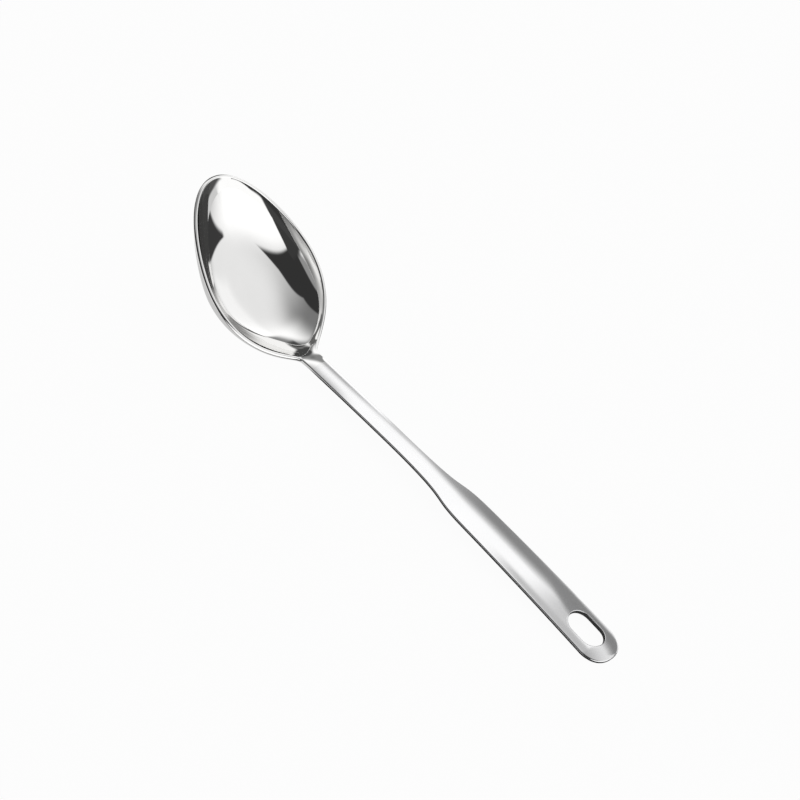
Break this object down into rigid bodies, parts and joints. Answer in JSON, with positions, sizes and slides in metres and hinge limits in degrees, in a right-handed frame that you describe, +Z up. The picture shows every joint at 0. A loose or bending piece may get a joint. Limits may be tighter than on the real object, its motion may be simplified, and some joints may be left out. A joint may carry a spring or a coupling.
{
  "type": "basting spoon",
  "caption": "Basting spoon: oval, steep-walled bowl, butt welded to a narrow shank that widens into a crowned grip with an oblong hang slot.",
  "frame": {"origin": "middle of the bounding box in plan, on the table the spoon rests on", "axes": "+X along the spoon from the bowl's tip to the handle's end, +Y across it, +Z up, with the bowl's hollow facing up"},
  "size_m": [0.329, 0.0758, 0.0573],
  "materials": {
    "polished_steel": "mirror polished stainless steel",
    "satin_steel": "fine satin stainless steel, brushed along the handle",
    "weld_steel": "weld metal ground flush and polished"
  },
  "bodies": {
    "root": {"bowl": "polished_steel", "handle": "satin_steel", "neck_weld": "weld_steel"}
  },
  "joints": []
}
